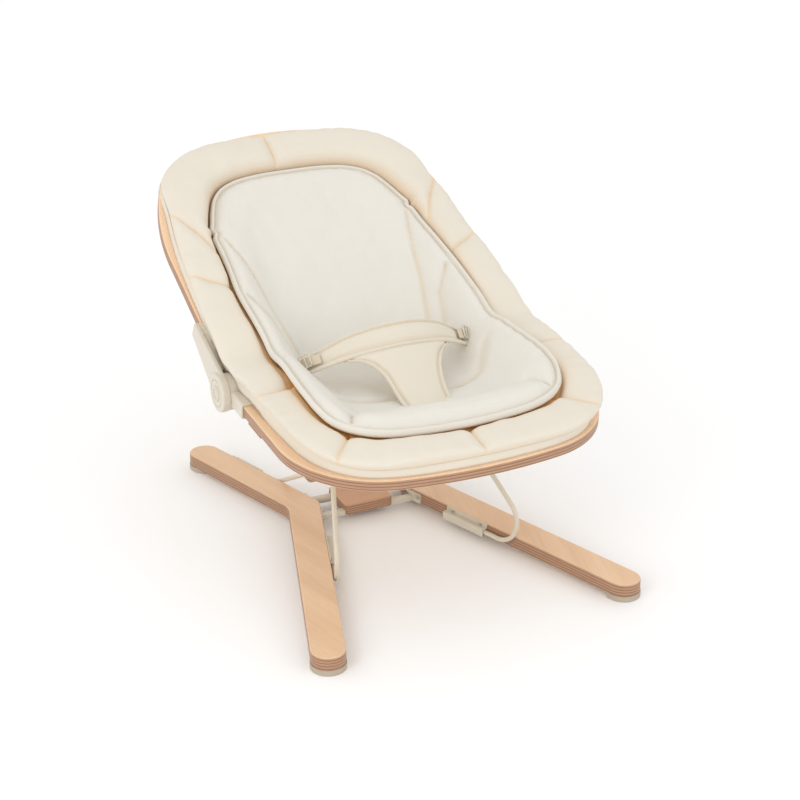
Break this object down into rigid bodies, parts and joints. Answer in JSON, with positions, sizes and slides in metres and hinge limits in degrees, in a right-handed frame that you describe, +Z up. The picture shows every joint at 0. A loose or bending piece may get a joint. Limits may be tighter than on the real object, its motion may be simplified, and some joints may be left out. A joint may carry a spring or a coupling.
{
  "type": "baby bouncer seat",
  "caption": "Low baby bouncer: plywood legs and hoops joined by bent wire springs and recline hinges, with a quilted cover, thin liner and crotch harness.",
  "frame": {"origin": "on the floor, below the centre of the overall box", "axes": "+Z up, -Y is the way the seated baby faces (the front feet), +X across the seat"},
  "size_m": [0.4752, 0.7366, 0.4889],
  "materials": {
    "wood": "clear satin lacquer on beech plywood",
    "cream_steel": "cream powder coat",
    "screw_steel": "zinc plated",
    "hinge_plastic": "fine satin moulded",
    "lock_plastic": "plain moulded",
    "rubber": "matte",
    "cover_cotton": "woven cotton, quilted",
    "liner_cotton": "fine woven cotton",
    "webbing": "woven tape"
  },
  "bodies": {
    "base": {"right_leg": "wood", "left_leg": "wood", "rubber_feet": "rubber", "foot_screws": "screw_steel", "front_crossbar": "cream_steel", "rear_crossbar": "cream_steel", "crossbar_screws": "screw_steel", "centre_board": "wood", "board_screws": "screw_steel", "right_front_spring_clamp": "cream_steel", "right_rear_spring_clamp": "cream_steel", "left_front_spring_clamp": "cream_steel", "left_rear_spring_clamp": "cream_steel", "clamp_screws": "screw_steel", "right_spring_wire": "cream_steel", "left_spring_wire": "cream_steel"},
    "seat": {"seat_hoop": "wood", "seat_cradle": "wood", "cradle_screws": "screw_steel", "wire_saddles": "cream_steel", "saddle_screws": "screw_steel", "right_hinge_lower_housing": "hinge_plastic", "left_hinge_lower_housing": "hinge_plastic", "right_hinge_pin": "screw_steel", "left_hinge_pin": "screw_steel", "seat_hinge_screws": "screw_steel", "seat_cover": "cover_cotton", "seat_liner": "liner_cotton", "crotch_pad": "cover_cotton", "right_waist_webbing": "webbing", "left_waist_webbing": "webbing", "right_strap_adjuster": "hinge_plastic", "left_strap_adjuster": "hinge_plastic"},
    "backrest": {"back_hoop": "wood", "right_hinge_upper_housing": "hinge_plastic", "left_hinge_upper_housing": "hinge_plastic", "back_hinge_screws": "screw_steel", "back_cover": "cover_cotton", "back_liner": "liner_cotton"},
    "right_button": {"right_lock_gear": "lock_plastic", "right_hinge_button": "hinge_plastic", "right_button_spring": "screw_steel"},
    "left_button": {"left_lock_gear": "lock_plastic", "left_hinge_button": "hinge_plastic", "left_button_spring": "screw_steel"}
  },
  "joints": [
    {"name": "bounce", "type": "hinge", "parent": "base", "child": "seat", "pos_m": [0, -0.04438, 0.06], "axis": [1, 0, 0], "range_deg": [-4, 4], "stiffness_Nm_per_rad": 120, "deforming": ["right_spring_wire", "left_spring_wire"]},
    {"name": "recline", "type": "hinge", "parent": "seat", "child": "backrest", "pos_m": [0, -0.03438, 0.252], "axis": [1, 0, 0], "range_deg": [-9, 18]},
    {"name": "right_button_press", "type": "slide", "parent": "backrest", "child": "right_button", "axis": [-1, 0, 0], "range_m": [0, 0.0045], "stiffness_N_per_m": 800, "springref_m": -0.004, "deforming": ["right_button_spring"]},
    {"name": "left_button_press", "type": "slide", "parent": "backrest", "child": "left_button", "axis": [1, 0, 0], "range_m": [0, 0.0045], "stiffness_N_per_m": 800, "springref_m": -0.004, "deforming": ["left_button_spring"]}
  ]
}
